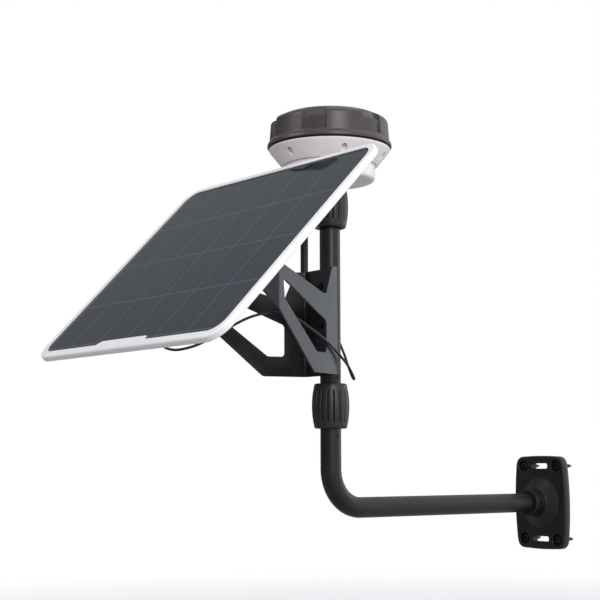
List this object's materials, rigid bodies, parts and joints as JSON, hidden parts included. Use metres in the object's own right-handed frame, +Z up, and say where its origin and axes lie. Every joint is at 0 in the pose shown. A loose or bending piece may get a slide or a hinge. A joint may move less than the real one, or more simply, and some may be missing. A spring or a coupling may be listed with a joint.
{
  "type": "solar powered positioning antenna on a wall arm",
  "caption": "Round antenna head on a mast in an L shaped wall arm, with a framed solar panel on a tilting sheet bracket, a hanging whip antenna and a cable.",
  "frame": {"origin": "middle of the wall plate's back face, on the arm tube's axis", "axes": "+X runs right along the wall, +Y points into the wall, +Z is up; the mast stands 430 mm in front of the wall along -Y"},
  "size_m": [0.407, 0.7917, 0.6081],
  "materials": {
    "powder_coat_black": "satin black powder coat on the wall plate, arm and mast",
    "powder_coat_grey": "satin dark grey powder coat on bent sheet",
    "nut_plastic": "brown black moulded plastic, fine grain",
    "cap_plastic": "dark grey satin moulded plastic",
    "housing_plastic": "warm white moulded plastic",
    "panel_frame": "white powder coat on aluminium",
    "panel_glass": "dark smooth laminate over solar cells",
    "solar_cells": "blue black cells with fine conductor lines",
    "white_sheet": "white laminate back and nylon split rings",
    "rubber": "black cable sheath, grommet and gasket",
    "steel": "zinc plated or stainless fasteners",
    "rail_aluminium": "mill finish flat bar and lugs",
    "circuit_board": "green board",
    "ceramic": "unglazed ceramic",
    "battery": "shrink wrapped cells"
  },
  "bodies": {
    "wall_arm": {"wall_plate": "powder_coat_black", "wall_screw_1": "steel", "wall_screw_2": "steel", "wall_screw_3": "steel", "wall_screw_4": "steel", "socket_set_screw": "steel", "arm_tube": "powder_coat_black", "arm_thread_sleeve": "steel", "arm_pin": "steel"},
    "mast": {"mast_tube": "powder_coat_black", "panel_bracket": "powder_coat_grey", "whip_antenna": "nut_plastic", "head_cap": "cap_plastic", "base_cup": "housing_plastic", "lower_housing": "housing_plastic", "lower_collet": "white_sheet", "upper_collet": "white_sheet", "cable_grommet": "rubber", "head_gasket": "rubber", "panel_cable": "rubber", "mast_spigot": "steel", "mast_nut_strip": "steel", "whip_connector": "steel", "ground_plane": "steel", "pivot_bolt_left": "steel", "pivot_bolt_right": "steel", "pivot_nut_left": "steel", "pivot_nut_right": "steel", "bracket_screw_1": "steel", "bracket_screw_2": "steel", "bracket_screw_3": "steel", "housing_screw_1": "steel", "housing_screw_2": "steel", "housing_screw_3": "steel", "housing_screw_4": "steel", "housing_screw_5": "steel", "housing_screw_6": "steel", "main_board": "circuit_board", "patch_element": "ceramic", "battery_pack": "battery"},
    "lower_collar": {"lower_collar": "nut_plastic"},
    "upper_collar": {"upper_collar": "nut_plastic"},
    "panel": {"panel_frame": "panel_frame", "glass_cover": "panel_glass", "cell_sheet": "solar_cells", "back_sheet": "white_sheet", "back_rail_left": "rail_aluminium", "back_rail_right": "rail_aluminium", "hinge_lug_left": "rail_aluminium", "hinge_lug_right": "rail_aluminium", "lug_screw_left_lower": "steel", "lug_screw_left_upper": "steel", "lug_screw_right_lower": "steel", "lug_screw_right_upper": "steel", "junction_box": "nut_plastic", "junction_box_lid": "nut_plastic", "cable_gland": "nut_plastic"}
  },
  "joints": [
    {"name": "mast_turn", "type": "hinge", "parent": "wall_arm", "child": "mast", "pos_m": [0, -0.43, 0.16], "axis": [0, 0, 1], "range_deg": [-180, 180]},
    {"name": "lower_collar_turn", "type": "hinge", "parent": "wall_arm", "child": "lower_collar", "pos_m": [0, -0.43, 0.136], "axis": [0, 0, 1], "range_deg": [0, 270]},
    {"name": "upper_collar_turn", "type": "hinge", "parent": "mast", "child": "upper_collar", "pos_m": [0, -0.43, 0.4084], "axis": [0, 0, 1], "range_deg": [0, 270]},
    {"name": "panel_tilt", "type": "hinge", "parent": "mast", "child": "panel", "pos_m": [0, -0.62, 0.3008], "axis": [1, 0, 0], "range_deg": [-20, 30], "deforming": ["panel_cable"]}
  ]
}
